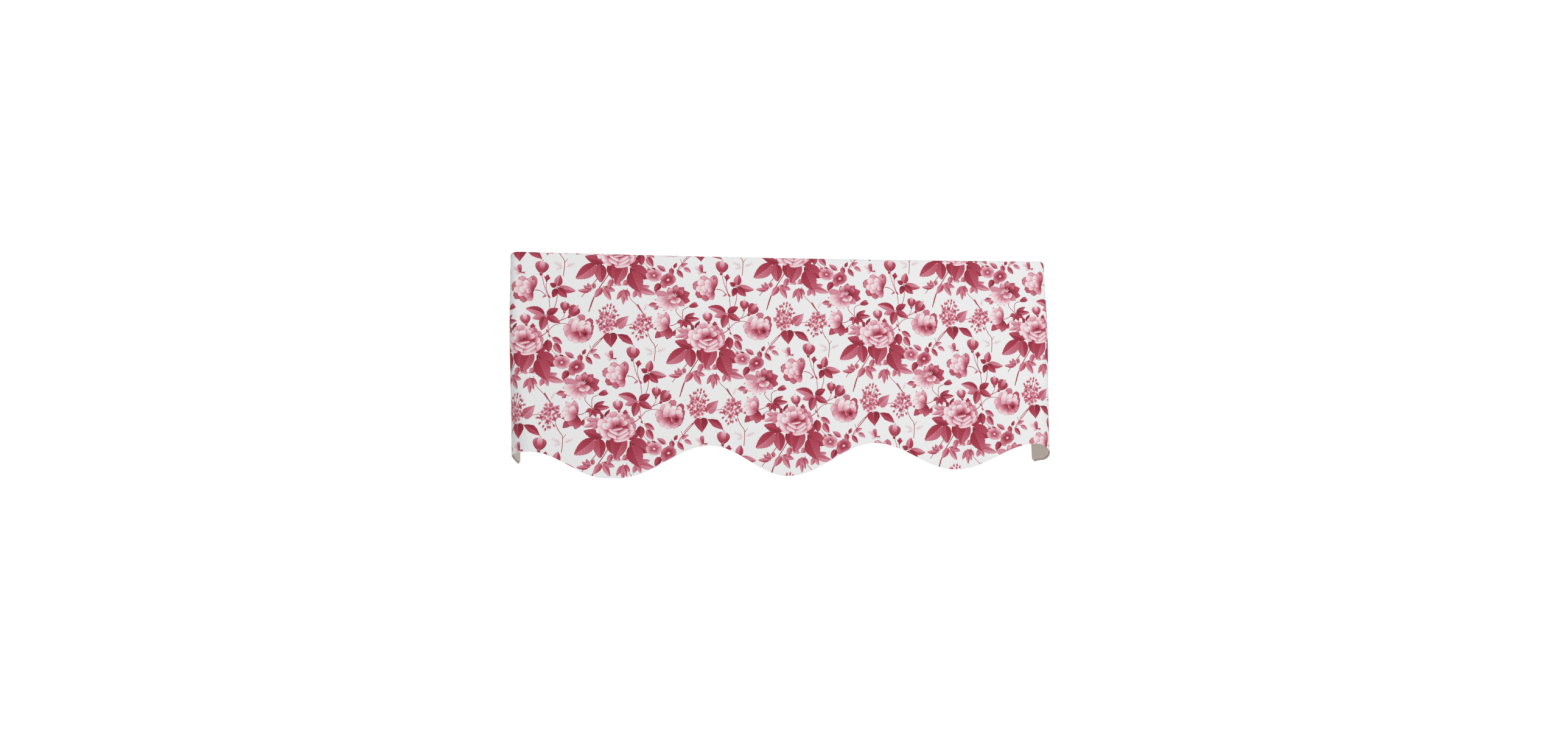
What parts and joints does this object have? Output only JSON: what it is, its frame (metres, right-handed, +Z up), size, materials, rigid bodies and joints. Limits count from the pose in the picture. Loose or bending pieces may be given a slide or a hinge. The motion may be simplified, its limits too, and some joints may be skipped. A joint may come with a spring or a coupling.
{
  "type": "window valance",
  "caption": "Short lined window valance with a rod pocket along its top, a scalloped hem and a return at each end, in cream cotton printed with crimson garden flowers.",
  "frame": {"origin": "middle of the top fold, halfway through the rod pocket", "axes": "+X along the width, to the right of someone facing the front; the front faces -Y and the wall is at +Y; +Z up"},
  "size_m": [1.09, 0.1095, 0.4361],
  "materials": {
    "printed_cotton": "matt printed cotton, off-white ground with crimson and rose flowers",
    "plain_lining": "matt plain greige cotton"
  },
  "bodies": {
    "root": {"face_cloth": "printed_cotton", "lining": "plain_lining"}
  },
  "joints": []
}
